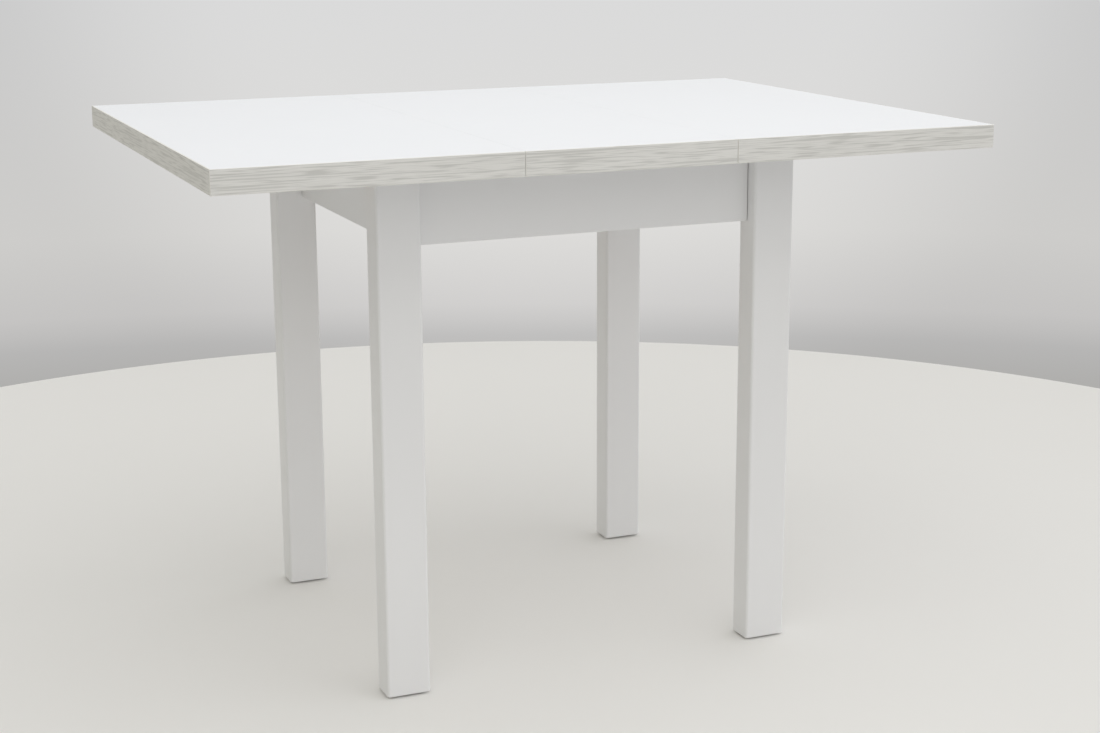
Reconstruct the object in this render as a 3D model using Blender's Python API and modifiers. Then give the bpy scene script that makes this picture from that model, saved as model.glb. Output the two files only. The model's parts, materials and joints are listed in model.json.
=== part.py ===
"""Extending table: a fixed frame on four legs, two sliding top halves and a folding centre leaf.

Run it with: blender --background --python part.py
Units are metres and +Z is up. X runs along the table and Y from its front to its back.
The origin is on the floor, under the middle of the table, which stands open on its leaf.
"""

import math

import bmesh
import bpy
from mathutils import Matrix, Vector

# The open table
TABLE_LENGTH = 1.100
TABLE_DEPTH = 0.800
TABLE_HEIGHT = 0.760
LEAF_WIDTH = 0.300
TOP_THICKNESS = 0.032
BAND_THICKNESS = 0.002
BAND_ROUNDING = 0.0006
SEAM = 0.0008

# The base
BASE_LENGTH = 0.616
BASE_DEPTH = 0.544
LEG_LENGTH = 0.062
LEG_DEPTH = 0.043
LEG_ROUNDING = 0.004
FOOT_CLEARANCE = 0.003
APRON_BOTTOM = 0.624
APRON_THICKNESS = 0.018
APRON_ROUNDING = 0.001
LONG_APRON_SETBACK = 0.0195
SIDE_APRON_SETBACK = 0.0405
APRON_END_GAP = 0.0008

# Fits: between still neighbours, between sliding ones, and from the base up to the sliding halves
GAP = 0.0003
SLIDE_FIT = 0.0005
TOP_CLEARANCE = 0.0008

# The wooden slides under the halves, and the fixed rails they run along
OVERTRAVEL = 0.025
SLIDE_WIDTH = 0.014
SLIDE_HEIGHT = 0.022
SLIDE_INNER_END = 0.030
SLIDE_OUTER_END = 0.420
TONGUE_DEPTH = 0.004
TONGUE_HEIGHT = 0.008
RAIL_WIDTH = 0.016
RAIL_HOUSING = 0.010
LEG_TO_SLIDE = 0.0015
SLIDE_SCREW_PLACES = (0.180, 0.300, 0.390)

# Corner plates and their hanger bolts
PLATE_THICKNESS = 0.002
PLATE_BOTTOM = 0.634
PLATE_TOP = 0.682
PLATE_REACH = 0.078
PLATE_FLANGE = 0.024
SEAT_DEPTH = 0.006
BOLT_RADIUS = 0.003
BOLT_IN_LEG = 0.028
BOLT_PAST_PLATE = 0.016
BOLT_CHAMFER = 0.0015
NUT_ACROSS_FLATS = 0.010
NUT_HEIGHT = 0.005
WASHER_RADIUS = 0.009
WASHER_THICKNESS = 0.0016

# Battens that carry the folded leaf, in pockets in the long aprons
BATTEN_PLACE = 0.100
BATTEN_WIDTH = 0.030
BATTEN_THICKNESS = 0.010
BATTEN_BOTTOM = 0.626
BATTEN_POCKET = 0.008

# Concealed barrel hinges between the two wings of the leaf
HINGE_PLACE = 0.090
BARREL_RADIUS = 0.007
BARREL_LENGTH = 0.024
LINK_REACH = 0.008
LINK_LOW = 0.740
LINK_HIGH = 0.749
LINK_THICKNESS = 0.003

# Glides and screws
GLIDE_RADIUS = 0.011
GLIDE_STEM_RADIUS = 0.004
GLIDE_STEM = 0.014
GLIDE_CHAMFER = 0.0009
SCREW_RADIUS = 0.002
SCREW_HEAD_RADIUS = 0.004
SCREW_HEAD_HEIGHT = 0.0028
SCREW_HEAD_EDGE = 0.0012
SCREW_HEAD_FLAT = 0.003
SCREW_POINT = 0.004
PLATE_SCREW_LENGTH = 0.014
RAIL_SCREW_LENGTH = 0.026
SLIDE_SCREW_BITE = 0.018
SLIDE_SCREW_RECESS = 0.006

ROUND_STEPS = 16
SMALL_STEPS = 10

# Levels and faces that follow from the sizes above
UNDERSIDE = TABLE_HEIGHT - TOP_THICKNESS
BASE_TOP = UNDERSIDE - TOP_CLEARANCE
LEG_INNER_X = BASE_LENGTH / 2 - LEG_LENGTH
LEG_INNER_Y = BASE_DEPTH / 2 - LEG_DEPTH
LONG_APRON_OUTER = BASE_DEPTH / 2 - LONG_APRON_SETBACK
LONG_APRON_INNER = LONG_APRON_OUTER - APRON_THICKNESS
SIDE_APRON_OUTER = BASE_LENGTH / 2 - SIDE_APRON_SETBACK
SIDE_APRON_INNER = SIDE_APRON_OUTER - APRON_THICKNESS
SLIDE_TOP = UNDERSIDE - GAP
SLIDE_BOTTOM = SLIDE_TOP - SLIDE_HEIGHT
TONGUE_MIDDLE = SLIDE_BOTTOM + SLIDE_HEIGHT / 2
NOTCH_FLOOR = SLIDE_BOTTOM - GAP
LEFT_SLIDE_OUTER = LEG_INNER_Y - LEG_TO_SLIDE
RAIL_OUTER = LEFT_SLIDE_OUTER - SLIDE_WIDTH - SLIDE_FIT
RIGHT_SLIDE_OUTER = RAIL_OUTER - RAIL_WIDTH - SLIDE_FIT
RAIL_SCREW_X = SIDE_APRON_INNER + RAIL_HOUSING / 2
FOLD_AXIS = TABLE_HEIGHT + GAP
BARREL_HEIGHT = TABLE_HEIGHT - TOP_THICKNESS / 2

SIDES = {"left": -1, "right": 1}
FRONT_BACK = {"front": -1, "back": 1}
CORNERS = [(across, along) for across in FRONT_BACK for along in SIDES]


# ---------------------------------------------------------------- scene and materials


def clear_scene():
    for obj in list(bpy.data.objects):
        bpy.data.objects.remove(obj, do_unlink=True)


def collection(name):
    made = bpy.data.collections.new(name)
    bpy.context.scene.collection.children.link(made)
    return made


def material(name, colour, roughness, metallic=0.0):
    made = bpy.data.materials.new(name)
    made.use_nodes = True
    shader = made.node_tree.nodes["Principled BSDF"]
    shader.inputs["Base Color"].default_value = (*colour, 1.0)
    shader.inputs["Roughness"].default_value = roughness
    shader.inputs["Metallic"].default_value = metallic
    made.diffuse_color = (*colour, 1.0)
    return made


clear_scene()
PARTS = collection("extending_table")
CUTTERS = collection("cutters")

LAMINATE = material("white_laminate", (0.90, 0.90, 0.89), 0.35)
EDGE_BAND = material("grained_edge_band", (0.62, 0.61, 0.57), 0.45)
LACQUER = material("white_satin_lacquer", (0.80, 0.80, 0.79), 0.40)
BEECH = material("bare_beech", (0.66, 0.47, 0.29), 0.55)
ZINC = material("zinc_plated_steel", (0.60, 0.61, 0.62), 0.35, 1.0)
BRASS = material("brass", (0.72, 0.55, 0.28), 0.30, 1.0)
NYLON = material("grey_nylon", (0.12, 0.12, 0.12), 0.50)


# ---------------------------------------------------------------- bodies


def body_frame(name, place, parent=None):
    """An empty on a moving body's joint axis, which its pieces hang from."""
    made = bpy.data.objects.new(name, None)
    PARTS.objects.link(made)
    made.parent = parent
    made.location = Vector(place) - (origin(parent) if parent else Vector())
    bpy.context.view_layer.update()
    return made


def origin(body):
    """Where a body's frame stands in the world."""
    return body.matrix_world.translation


BASE = body_frame("base_frame", (0, 0, 0))
HALF = {
    side: body_frame(f"{side}_half_frame", (sign * LEAF_WIDTH / 2, 0, UNDERSIDE), BASE)
    for side, sign in SIDES.items()
}
LEAF = {"back": body_frame("leaf_frame", (0, 0, FOLD_AXIS), BASE)}
LEAF["front"] = body_frame("leaf_fold_frame", (0, 0, FOLD_AXIS), LEAF["back"])


# ---------------------------------------------------------------- shapes


def finished(name, bm, look, body, centre=(0, 0, 0)):
    """An object from a bmesh drawn about centre, given in world metres."""
    mesh = bpy.data.meshes.new(name)
    bm.to_mesh(mesh)
    bm.free()
    obj = bpy.data.objects.new(name, mesh)
    obj.data.materials.append(look)
    PARTS.objects.link(obj)
    obj.parent = body
    obj.location = Vector(centre) - origin(body)
    return obj


def add_box(bm, low, high):
    low, high = Vector(low), Vector(high)
    size = Matrix.Diagonal((*(high - low), 1))
    bmesh.ops.create_cube(bm, size=1, matrix=Matrix.Translation((low + high) / 2) @ size)


def add_rod(bm, start, end, radius, steps=SMALL_STEPS):
    start, end = Vector(start), Vector(end)
    turn = (end - start).to_track_quat("Z", "Y").to_matrix().to_4x4()
    bmesh.ops.create_cone(
        bm,
        cap_ends=True,
        segments=steps,
        radius1=radius,
        radius2=radius,
        depth=(end - start).length,
        matrix=Matrix.Translation((start + end) / 2) @ turn,
    )


def span(sign, near, far):
    """Low and high ends of a stretch between two distances from the middle, on one side of it."""
    return sorted((sign * near, sign * far))


def box(name, low, high, look, body, rounding=0.0, segments=2):
    """A board, with its edges rounded where rounding is given."""
    bm = bmesh.new()
    low, high = Vector(low), Vector(high)
    centre = (low + high) / 2
    add_box(bm, low - centre, high - centre)
    obj = finished(name, bm, look, body, centre)
    if rounding:
        bevel = obj.modifiers.new("rounded_edges", "BEVEL")
        bevel.width = rounding
        bevel.segments = segments
    return obj


def boolean(obj, boxes=(), rods=(), operation="DIFFERENCE", steps=SMALL_STEPS):
    """Cuts boxes (low, high) and rods (start, end, radius) out of a piece, or joins them to it."""
    bm = bmesh.new()
    for low, high in boxes:
        add_box(bm, low, high)
    for start, end, radius in rods:
        add_rod(bm, start, end, radius, steps)
    mesh = bpy.data.meshes.new(f"{obj.name}_cutter")
    bm.to_mesh(mesh)
    bm.free()
    cutter = bpy.data.objects.new(mesh.name, mesh)
    CUTTERS.objects.link(cutter)
    cutter.hide_render = True
    cutter.display_type = "WIRE"
    modifier = obj.modifiers.new(operation.lower(), "BOOLEAN")
    modifier.operation = operation
    modifier.solver = "EXACT"
    modifier.object = cutter


def turned_mesh(name, profile, steps=SMALL_STEPS):
    """The mesh of a (radius, height) profile turned about Z; it runs down its outer side."""
    mesh = bpy.data.meshes.new(name)
    points = [(radius, 0, height) for radius, height in profile]
    edges = [(i, i + 1) for i in range(len(points) - 1)]
    mesh.from_pydata(points, edges, [])
    pattern = bpy.data.objects.new(name, mesh)
    CUTTERS.objects.link(pattern)
    screw = pattern.modifiers.new("turned", "SCREW")
    screw.steps = steps
    screw.render_steps = steps
    screw.use_merge_vertices = True
    screw.merge_threshold = 0.00001
    return baked(pattern)


def baked(obj):
    """The mesh an object shows with its modifiers on; the object is removed."""
    graph = bpy.context.evaluated_depsgraph_get()
    mesh = bpy.data.meshes.new_from_object(obj.evaluated_get(graph))
    bpy.data.objects.remove(obj, do_unlink=True)
    return mesh


def placed(name, mesh, point, direction, look, body):
    """A piece whose mesh was drawn at the origin, with its +Z turned to direction."""
    if not mesh.materials:
        mesh.materials.append(look)
        mesh.shade_smooth()
        mesh.set_sharp_from_angle(angle=math.radians(35))
    obj = bpy.data.objects.new(name, mesh)
    PARTS.objects.link(obj)
    obj.parent = body
    obj.location = Vector(point) - origin(body)
    obj.rotation_mode = "QUATERNION"
    obj.rotation_quaternion = Vector(direction).to_track_quat("Z", "Y")
    return obj


def screw_mesh(name, length):
    """A pan-head wood screw whose head's underside is at the origin and whose tip is at -length."""
    profile = [
        (0, SCREW_HEAD_HEIGHT),
        (SCREW_HEAD_FLAT, SCREW_HEAD_HEIGHT),
        (SCREW_HEAD_RADIUS, SCREW_HEAD_EDGE),
        (SCREW_HEAD_RADIUS, 0),
        (SCREW_RADIUS, 0),
        (SCREW_RADIUS, SCREW_POINT - length),
        (0, -length),
    ]
    return turned_mesh(name, profile)


# ---------------------------------------------------------------- base


def corner_signs(across, along):
    return SIDES[along], FRONT_BACK[across]


def bolt_line(across, along):
    """Where a corner's hanger bolt passes between the apron ends, and its direction to the leg."""
    sx, sy = corner_signs(across, along)
    x = (LEG_INNER_X - APRON_END_GAP + SIDE_APRON_INNER) / 2
    y = (LEG_INNER_Y - APRON_END_GAP + LONG_APRON_INNER) / 2
    height = (PLATE_BOTTOM + PLATE_TOP) / 2
    return Vector((sx * x, sy * y, height)), Vector((sx, sy, 0)).normalized()


def bolt_to_plate(across, along):
    """Distance along the bolt from that place to the near face of the corner plate."""
    point, _ = bolt_line(across, along)
    from_corner = SIDE_APRON_INNER - abs(point.x) + LONG_APRON_INNER - abs(point.y)
    return (PLATE_REACH - from_corner) / math.sqrt(2)


def make_leg(across, along):
    sx, sy = corner_signs(across, along)
    x = span(sx, LEG_INNER_X, BASE_LENGTH / 2)
    y = span(sy, LEG_INNER_Y, BASE_DEPTH / 2)
    low = (x[0], y[0], FOOT_CLEARANCE)
    high = (x[1], y[1], BASE_TOP)
    leg = box(f"leg_{across}_{along}", low, high, LACQUER, BASE)
    round_upright_edges(leg)

    # A flat across the inner corner seats the hanger bolt, whose blind hole starts there
    point, outward = bolt_line(across, along)
    flat = box_at_angle(point - outward * (PLATE_REACH / 2 - SEAT_DEPTH), outward)
    flat_cut = leg.modifiers.new("bolt_flat", "BOOLEAN")
    flat_cut.solver = "EXACT"
    flat_cut.object = flat
    foot = Vector((sum(x) / 2, sum(y) / 2, 0))
    stem_top = foot + Vector((0, 0, FOOT_CLEARANCE + GLIDE_STEM))
    rods = [
        (point - outward * LEG_LENGTH / 2, point + outward * (BOLT_IN_LEG + GAP), BOLT_RADIUS + GAP),
        (foot - Vector((0, 0, FOOT_CLEARANCE)), stem_top, GLIDE_STEM_RADIUS + GAP),
    ]
    boolean(leg, rods=rods)


def round_upright_edges(leg):
    bm = bmesh.new()
    bm.from_mesh(leg.data)
    weight = bm.edges.layers.float.new("bevel_weight_edge")
    for edge in bm.edges:
        upright = (edge.verts[0].co - edge.verts[1].co).z
        edge[weight] = 1.0 if abs(upright) > LEG_LENGTH else 0.0
    bm.to_mesh(leg.data)
    bm.free()
    bevel = leg.modifiers.new("rounded_edges", "BEVEL")
    bevel.limit_method = "WEIGHT"
    bevel.width = LEG_ROUNDING
    bevel.segments = 4


def box_at_angle(centre, direction):
    """A cutter that ends square to direction and runs from just under the corner plate to the top."""
    bm = bmesh.new()
    half = PLATE_REACH / 2
    low = PLATE_BOTTOM - SEAT_DEPTH - centre.z
    high = TABLE_HEIGHT - centre.z
    add_box(bm, (-half, -half, low), (half, half, high))
    angle = math.atan2(direction.y, direction.x)
    bmesh.ops.rotate(bm, verts=bm.verts, matrix=Matrix.Rotation(angle, 3, "Z"))
    mesh = bpy.data.meshes.new("bolt_flat_cutter")
    bm.to_mesh(mesh)
    bm.free()
    cutter = bpy.data.objects.new(mesh.name, mesh)
    CUTTERS.objects.link(cutter)
    cutter.location = centre
    cutter.hide_render = True
    cutter.display_type = "WIRE"
    return cutter


def make_glide(across, along):
    """A nylon disc under the leg, with a stem pressed into the leg's foot."""
    sx, sy = corner_signs(across, along)
    disc_top = FOOT_CLEARANCE - GAP
    profile = [
        (0, FOOT_CLEARANCE + GLIDE_STEM - GAP),
        (GLIDE_STEM_RADIUS, FOOT_CLEARANCE + GLIDE_STEM - GAP),
        (GLIDE_STEM_RADIUS, disc_top),
        (GLIDE_RADIUS, disc_top),
        (GLIDE_RADIUS, GLIDE_CHAMFER),
        (GLIDE_RADIUS - GLIDE_CHAMFER, 0),
        (0, 0),
    ]
    name = f"glide_{across}_{along}"
    x = sx * (BASE_LENGTH - LEG_LENGTH) / 2
    y = sy * (BASE_DEPTH - LEG_DEPTH) / 2
    placed(name, turned_mesh(name, profile, ROUND_STEPS), (x, y, 0), (0, 0, 1), NYLON, BASE)


def plate_screws(across, along):
    """Places of one corner plate's screws: the face of the flange, and the direction of the head."""
    sx, sy = corner_signs(across, along)
    reach = PLATE_REACH + PLATE_FLANGE / 2
    face = GAP + PLATE_THICKNESS + GAP
    quarter = (PLATE_TOP - PLATE_BOTTOM) / 4
    places = []
    for height in (PLATE_BOTTOM + quarter, PLATE_TOP - quarter):
        long_side = (sx * (SIDE_APRON_INNER - reach), sy * (LONG_APRON_INNER - face), height)
        short_side = (sx * (SIDE_APRON_INNER - face), sy * (LONG_APRON_INNER - reach), height)
        places.append((long_side, (0, -sy, 0)))
        places.append((short_side, (-sx, 0, 0)))
    return places


def screw_holes(places, length):
    """Clearance holes that a screw at each place needs, from its head down past its tip."""
    rods = []
    for point, direction in places:
        point, direction = Vector(point), Vector(direction)
        tip = point - direction * (length + GAP)
        rods.append((point + direction * GAP, tip, SCREW_RADIUS + GAP))
    return rods


def head_recesses(places):
    """Holes that sink each screw's head under the surface it is driven from."""
    rods = []
    for point, direction in places:
        point, direction = Vector(point), Vector(direction)
        rods.append((point - direction * GAP, point + direction * TOP_THICKNESS, SCREW_HEAD_RADIUS + GAP))
    return rods


def make_corner_plate(across, along):
    """A steel plate across the corner, with a flange screwed to each apron."""
    sx, sy = corner_signs(across, along)
    far = PLATE_REACH + PLATE_FLANGE
    plan = [(far, GAP), (PLATE_REACH, GAP), (GAP, PLATE_REACH), (GAP, far)]
    # The sheet's faces point at the middle of the table, which is where it thickens to
    if sx * sy > 0:
        plan.reverse()
    bm = bmesh.new()
    edges = []
    for level in (PLATE_BOTTOM, PLATE_TOP):
        row = [
            bm.verts.new((sx * (SIDE_APRON_INNER - u), sy * (LONG_APRON_INNER - v), level))
            for u, v in plan
        ]
        edges.append(row)
    for i in range(len(plan) - 1):
        bm.faces.new((edges[0][i + 1], edges[0][i], edges[1][i], edges[1][i + 1]))
    plate = finished(f"corner_plate_{across}_{along}", bm, ZINC, BASE)
    solidify = plate.modifiers.new("sheet", "SOLIDIFY")
    solidify.thickness = PLATE_THICKNESS
    solidify.offset = 1
    solidify.use_even_offset = True
    point, outward = bolt_line(across, along)
    rods = screw_holes(plate_screws(across, along), PLATE_SCREW_LENGTH)
    rods.append((point, point - outward * PLATE_REACH, BOLT_RADIUS + GAP))
    boolean(plate, rods=rods)


def make_corner_fasteners():
    """A hanger bolt, washer and nut at each corner, drawing the leg against the apron ends."""
    length = BOLT_IN_LEG + bolt_to_plate(*CORNERS[0]) + BOLT_PAST_PLATE
    bolt = turned_mesh(
        "hanger_bolt",
        [
            (0, 0),
            (BOLT_RADIUS - BOLT_CHAMFER, 0),
            (BOLT_RADIUS, -BOLT_CHAMFER),
            (BOLT_RADIUS, -length),
            (0, -length),
        ],
    )
    bore = BOLT_RADIUS + GAP
    washer = turned_mesh(
        "hanger_washer",
        [
            (bore, WASHER_THICKNESS),
            (WASHER_RADIUS, WASHER_THICKNESS),
            (WASHER_RADIUS, 0),
            (bore, 0),
            (bore, WASHER_THICKNESS),
        ],
        ROUND_STEPS,
    )
    nut = nut_mesh(bore)
    for across, along in CORNERS:
        corner = f"{across}_{along}"
        point, outward = bolt_line(across, along)
        plate_face = bolt_to_plate(across, along) + PLATE_THICKNESS + GAP
        nut_face = plate_face + WASHER_THICKNESS + GAP
        tip = point + outward * BOLT_IN_LEG
        placed(f"hanger_bolt_{corner}", bolt, tip, outward, ZINC, BASE)
        placed(f"hanger_washer_{corner}", washer, point - outward * plate_face, -outward, ZINC, BASE)
        placed(f"hanger_nut_{corner}", nut, point - outward * nut_face, -outward, ZINC, BASE)


def nut_mesh(bore):
    """A hexagon nut that stands on the origin."""
    bm = bmesh.new()
    radius = NUT_ACROSS_FLATS / 2 / math.cos(math.pi / 6)
    add_rod(bm, (0, 0, 0), (0, 0, NUT_HEIGHT), radius, 6)
    nut = finished("hanger_nut", bm, ZINC, BASE)
    boolean(nut, rods=[((0, 0, -NUT_HEIGHT), (0, 0, 2 * NUT_HEIGHT), bore)])
    return baked(nut)


def screws_into(across=None, along=None):
    """Corner plate screws that bite into one apron: a long one by across, a side one by along."""
    found = []
    for corner in CORNERS:
        if corner[0] == across:
            found += [place for place in plate_screws(*corner) if place[1][0] == 0]
        if corner[1] == along:
            found += [place for place in plate_screws(*corner) if place[1][1] == 0]
    return found


def make_long_apron(across):
    sy = FRONT_BACK[across]
    reach = LEG_INNER_X - APRON_END_GAP
    y = span(sy, LONG_APRON_INNER, LONG_APRON_OUTER)
    low = (-reach, y[0], APRON_BOTTOM)
    high = (reach, y[1], BASE_TOP)
    apron = box(f"apron_{across}", low, high, LACQUER, BASE, APRON_ROUNDING)
    pockets = []
    depth = span(sy, LONG_APRON_INNER - BATTEN_POCKET, LONG_APRON_INNER + BATTEN_POCKET)
    half = BATTEN_WIDTH / 2 + GAP
    for sx in SIDES.values():
        x = sx * BATTEN_PLACE
        pocket_top = BATTEN_BOTTOM + BATTEN_THICKNESS + GAP
        pockets.append(((x - half, depth[0], BATTEN_BOTTOM - GAP), (x + half, depth[1], pocket_top)))
    rods = screw_holes(screws_into(across=across), PLATE_SCREW_LENGTH)
    boolean(apron, boxes=pockets, rods=rods)


def slide_lane(along):
    """Nearest and furthest distance of a half's slides from the table's long middle line."""
    outer = LEFT_SLIDE_OUTER if along == "left" else RIGHT_SLIDE_OUTER
    return outer - SLIDE_WIDTH, outer


def rail_screw_places(along):
    sx = SIDES[along]
    y = RAIL_OUTER - RAIL_WIDTH / 2
    head = BASE_TOP - SCREW_HEAD_HEIGHT - GAP
    return [((sx * RAIL_SCREW_X, sy * y, head), (0, 0, 1)) for sy in FRONT_BACK.values()]


def make_side_apron(along):
    """An end board with an open notch for each slide and a housing for each rail's end."""
    sx = SIDES[along]
    reach = LEG_INNER_Y - APRON_END_GAP
    x = span(sx, SIDE_APRON_INNER, SIDE_APRON_OUTER)
    low = (x[0], -reach, APRON_BOTTOM)
    high = (x[1], reach, BASE_TOP)
    apron = box(f"apron_{along}", low, high, LACQUER, BASE, APRON_ROUNDING)
    near, far = slide_lane(along)
    # The left slides run beside the legs, so their notches open towards the legs
    far = LEG_INNER_Y if along == "left" else far
    through = span(sx, SIDE_APRON_INNER - APRON_THICKNESS, SIDE_APRON_OUTER + APRON_THICKNESS)
    housing = span(sx, SIDE_APRON_INNER - RAIL_HOUSING, SIDE_APRON_INNER + RAIL_HOUSING + GAP)
    rail = (RAIL_OUTER - RAIL_WIDTH - GAP, RAIL_OUTER + GAP)
    notches, seats = [], []
    for sy in FRONT_BACK.values():
        slot = span(sy, near - SLIDE_FIT, far + SLIDE_FIT)
        notches.append(((through[0], slot[0], NOTCH_FLOOR), (through[1], slot[1], TABLE_HEIGHT)))
        seat = span(sy, *rail)
        seats.append(((housing[0], seat[0], NOTCH_FLOOR), (housing[1], seat[1], TABLE_HEIGHT)))
    rods = screw_holes(screws_into(along=along), PLATE_SCREW_LENGTH)
    rods += screw_holes(rail_screw_places(along), RAIL_SCREW_LENGTH)
    boolean(apron, boxes=notches)
    boolean(apron, boxes=seats)
    boolean(apron, rods=rods)


def make_guide_rail(across):
    """A fixed rail with a groove down each side, which the tongues of the slides run in."""
    sy = FRONT_BACK[across]
    reach = SIDE_APRON_INNER + RAIL_HOUSING
    y = span(sy, RAIL_OUTER - RAIL_WIDTH, RAIL_OUTER)
    rail = box(
        f"guide_rail_{across}", (-reach, y[0], SLIDE_BOTTOM), (reach, y[1], BASE_TOP), BEECH, BASE
    )
    half = TONGUE_HEIGHT / 2 + SLIDE_FIT
    depth = TONGUE_DEPTH + SLIDE_FIT
    lanes = (
        (RAIL_OUTER - depth, RAIL_OUTER + RAIL_WIDTH),
        (RAIL_OUTER - 2 * RAIL_WIDTH, RAIL_OUTER - RAIL_WIDTH + depth),
    )
    grooves = []
    for lane in lanes:
        groove = span(sy, *lane)
        low = (-2 * reach, groove[0], TONGUE_MIDDLE - half)
        high = (2 * reach, groove[1], TONGUE_MIDDLE + half)
        grooves.append((low, high))
    boolean(rail, boxes=grooves)
    screws = rail_screw_places("left") + rail_screw_places("right")
    screws = [place for place in screws if place[0][1] * sy > 0]
    boolean(rail, rods=screw_holes(screws, RAIL_SCREW_LENGTH))
    boolean(rail, rods=head_recesses(screws))


def make_tray_batten(along):
    sx = SIDES[along]
    half = BATTEN_WIDTH / 2
    reach = LONG_APRON_INNER + BATTEN_POCKET - GAP
    x = sx * BATTEN_PLACE
    low = (x - half, -reach, BATTEN_BOTTOM)
    high = (x + half, reach, BATTEN_BOTTOM + BATTEN_THICKNESS)
    box(f"tray_batten_{along}", low, high, BEECH, BASE)


def make_base():
    for corner in CORNERS:
        make_leg(*corner)
        make_glide(*corner)
        make_corner_plate(*corner)
    for across in FRONT_BACK:
        make_long_apron(across)
        make_guide_rail(across)
    for along in SIDES:
        make_side_apron(along)
        make_tray_batten(along)
    make_corner_fasteners()
    screw = screw_mesh("guide_rail_screw", RAIL_SCREW_LENGTH)
    for along in SIDES:
        for across, (point, direction) in zip(FRONT_BACK, rail_screw_places(along)):
            placed(f"guide_rail_screw_{across}_{along}", screw, point, direction, ZINC, BASE)


# ---------------------------------------------------------------- sliding halves


def slide_screw_places(along):
    sx = SIDES[along]
    near, far = slide_lane(along)
    middle = (near + far) / 2
    head = SLIDE_BOTTOM + SLIDE_SCREW_RECESS
    return [
        ((sx * x, sy * middle, head), (0, 0, -1))
        for x in SLIDE_SCREW_PLACES
        for sy in FRONT_BACK.values()
    ]


def slide_screw_length():
    return SLIDE_TOP - SLIDE_BOTTOM - SLIDE_SCREW_RECESS + SLIDE_SCREW_BITE


def make_slide(across, along):
    """A beech slide under a half, with a tongue whose outer end stops the half's travel."""
    sx, sy = SIDES[along], FRONT_BACK[across]
    near, far = slide_lane(along)
    x = span(sx, SLIDE_INNER_END, SLIDE_OUTER_END)
    y = span(sy, near, far)
    low = (x[0], y[0], SLIDE_BOTTOM)
    high = (x[1], y[1], SLIDE_TOP)
    slide = box(f"{along}_slide_{across}", low, high, BEECH, HALF[along])
    # The tongue starts inside the slide, so that the two join into one piece
    root = SLIDE_WIDTH / 2
    towards_rail = (near - TONGUE_DEPTH, near + root) if along == "left" else (far - root, far + TONGUE_DEPTH)
    tongue_y = span(sy, *towards_rail)
    tongue_x = span(sx, SLIDE_INNER_END + SLIDE_FIT, SIDE_APRON_INNER - OVERTRAVEL - SLIDE_FIT)
    tongue_low = (tongue_x[0], tongue_y[0], TONGUE_MIDDLE - TONGUE_HEIGHT / 2)
    tongue_high = (tongue_x[1], tongue_y[1], TONGUE_MIDDLE + TONGUE_HEIGHT / 2)
    boolean(slide, boxes=[(tongue_low, tongue_high)], operation="UNION")
    screws = [place for place in slide_screw_places(along) if place[0][1] * sy > 0]
    boolean(slide, rods=screw_holes(screws, slide_screw_length()))
    boolean(slide, rods=head_recesses(screws))


def make_half(along):
    """One end of the top: a board, its edge bands, and two slides screwed up into it."""
    sx = SIDES[along]
    body = HALF[along]
    end = TABLE_LENGTH / 2
    seam = (LEAF_WIDTH + SEAM) / 2
    front = TABLE_DEPTH / 2
    board_x = span(sx, seam, end - BAND_THICKNESS - GAP)
    board_y = front - BAND_THICKNESS - GAP
    low = (board_x[0], -board_y, UNDERSIDE)
    high = (board_x[1], board_y, TABLE_HEIGHT)
    panel = box(f"{along}_top_panel", low, high, LAMINATE, body)
    screws = slide_screw_places(along)
    boolean(panel, rods=screw_holes(screws, slide_screw_length()))

    band_x = span(sx, seam, end)
    for across, sy in FRONT_BACK.items():
        y = span(sy, front - BAND_THICKNESS, front)
        low = (band_x[0], y[0], UNDERSIDE)
        high = (band_x[1], y[1], TABLE_HEIGHT)
        box(f"{along}_band_{across}", low, high, EDGE_BAND, body, BAND_ROUNDING)
        make_slide(across, along)
    end_x = span(sx, end - BAND_THICKNESS, end)
    low = (end_x[0], -board_y, UNDERSIDE)
    high = (end_x[1], board_y, TABLE_HEIGHT)
    box(f"{along}_band_end", low, high, EDGE_BAND, body, BAND_ROUNDING)


# ---------------------------------------------------------------- folding leaf


def barrel_ends(across, along):
    """The two ends of one hinge barrel, on the joint face and inside the wing."""
    sy = FRONT_BACK[across]
    x = SIDES[along] * HINGE_PLACE
    mouth = Vector((x, sy * SEAM / 2, BARREL_HEIGHT))
    return mouth, mouth + Vector((0, sy * BARREL_LENGTH, 0))


def make_wing(across):
    """Half of the leaf, from the fold at the middle out to its banded edge."""
    sy = FRONT_BACK[across]
    body = LEAF[across]
    half = (LEAF_WIDTH - SEAM) / 2
    outer = TABLE_DEPTH / 2
    y = span(sy, SEAM / 2, outer - BAND_THICKNESS - GAP)
    low = (-half, y[0], UNDERSIDE)
    high = (half, y[1], TABLE_HEIGHT)
    wing = box(f"leaf_wing_{across}", low, high, LAMINATE, body)
    bores = []
    for along in SIDES:
        mouth, bottom = barrel_ends(across, along)
        inward = (bottom - mouth).normalized()
        bores.append((mouth - inward * BARREL_LENGTH, bottom + inward * GAP, BARREL_RADIUS + GAP))
    boolean(wing, rods=bores, steps=ROUND_STEPS)
    y = span(sy, outer - BAND_THICKNESS, outer)
    low = (-half, y[0], UNDERSIDE)
    high = (half, y[1], TABLE_HEIGHT)
    box(f"leaf_band_{across}", low, high, EDGE_BAND, body, BAND_ROUNDING)


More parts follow.
